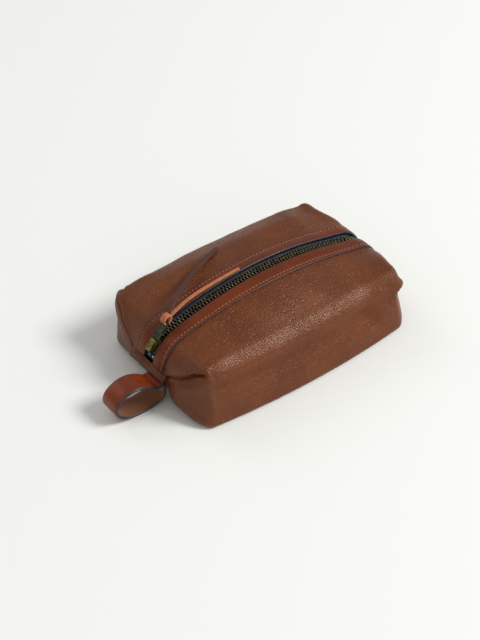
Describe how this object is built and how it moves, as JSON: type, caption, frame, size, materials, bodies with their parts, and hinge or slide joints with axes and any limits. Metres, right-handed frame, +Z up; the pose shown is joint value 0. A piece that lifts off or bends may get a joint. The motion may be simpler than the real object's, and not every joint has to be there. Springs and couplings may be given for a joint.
{
  "type": "shaving kit bag",
  "caption": "Soft leather wash bag with folded ends, a metal zip along the top that opens the mouth, a puller with a thong, and a carry loop at one end.",
  "frame": {"origin": "centre of the flat base, on the surface that the bag stands on", "axes": "+X along the bag, away from the carry loop; +Y to the back; +Z up"},
  "size_m": [0.2899, 0.14, 0.0762],
  "materials": {
    "body_leather": "pebbled full-grain hide, soft satin",
    "facing_leather": "smooth hide strip, satin, dark painted edge",
    "loop_leather": "smooth glossy strap, dark painted edges",
    "thong_leather": "waxed lace with bright raw edges",
    "lining_fabric": "plain woven cotton",
    "zip_tape": "woven herringbone tape",
    "teeth_brass": "antique brass, darkened in the hollows",
    "slider_brass": "antique brass, polished on the edges",
    "puller_brass": "dark antique brass",
    "stitch_thread": "waxed thread",
    "stop_metal": "plated steel"
  },
  "bodies": {
    "bag": {"body_wrap": "body_leather", "left_end": "body_leather", "right_end": "body_leather", "lining": "lining_fabric", "left_seam": "body_leather", "right_seam": "body_leather", "left_seam_stitches": "stitch_thread", "right_seam_stitches": "stitch_thread", "left_facing_ends": "facing_leather", "right_facing_ends": "facing_leather", "facing_end_stitches": "stitch_thread", "right_end_tapes": "zip_tape", "right_end_teeth": "teeth_brass", "top_stops": "stop_metal", "loop_ends": "loop_leather"},
    "front_mouth": {"front_top_panel": "body_leather", "front_facing": "facing_leather", "front_facing_stitches": "stitch_thread", "front_top_lining": "lining_fabric", "front_tape": "zip_tape", "front_teeth": "teeth_brass"},
    "back_mouth": {"back_top_panel": "body_leather", "back_facing": "facing_leather", "back_facing_stitches": "stitch_thread", "back_top_lining": "lining_fabric", "back_tape": "zip_tape", "back_teeth": "teeth_brass"},
    "zip_post": {"slider_post": "slider_brass"},
    "slider": {"slider_body": "slider_brass", "slider_bridge": "slider_brass"},
    "puller": {"puller_tab": "puller_brass"},
    "thong": {"thong": "thong_leather"},
    "loop": {"carry_loop": "loop_leather"}
  },
  "joints": [
    {"name": "slider_travel", "type": "hinge", "parent": "bag", "child": "zip_post", "pos_m": [0.0101, 0, -0.19077], "axis": [0, 1, 0], "range_deg": [0, 44.71]},
    {"name": "slider_tilt", "type": "hinge", "parent": "zip_post", "child": "slider", "pos_m": [-0.11085, 0, 0.04126], "axis": [0, 1, 0], "range_deg": [0, 23.29]},
    {"name": "front_mouth_open", "type": "hinge", "parent": "bag", "child": "front_mouth", "pos_m": [0, -0.0584, 0.0555], "axis": [1, 0, 0], "range_deg": [0, 33.7], "deforming": ["front_tape", "front_teeth"]},
    {"name": "back_mouth_open", "type": "hinge", "parent": "bag", "child": "back_mouth", "pos_m": [0, 0.0584, 0.0555], "axis": [-1, 0, 0], "range_deg": [0, 33.7], "deforming": ["back_tape", "back_teeth"]},
    {"name": "puller_swing", "type": "hinge", "parent": "slider", "child": "puller", "pos_m": [-0.11457, 0, 0.04494], "axis": [0, -1, 0], "range_deg": [0, 120]},
    {"name": "thong_swing", "type": "hinge", "parent": "puller", "child": "thong", "pos_m": [-0.0993, 0, 0.06441], "axis": [0, -1, 0], "range_deg": [0, 90], "deforming": ["thong"]},
    {"name": "loop_swing", "type": "hinge", "parent": "bag", "child": "loop", "pos_m": [-0.1278, -0.0142, 0.021], "axis": [0, 1, 0], "range_deg": [0, 60]}
  ],
  "couplings": [
    {"joint": "slider_tilt", "follows": "slider_travel", "ratio": 0.5175},
    {"joint": "front_mouth_open", "follows": "slider_travel", "ratio": 0.75},
    {"joint": "back_mouth_open", "follows": "slider_travel", "ratio": 0.75}
  ]
}
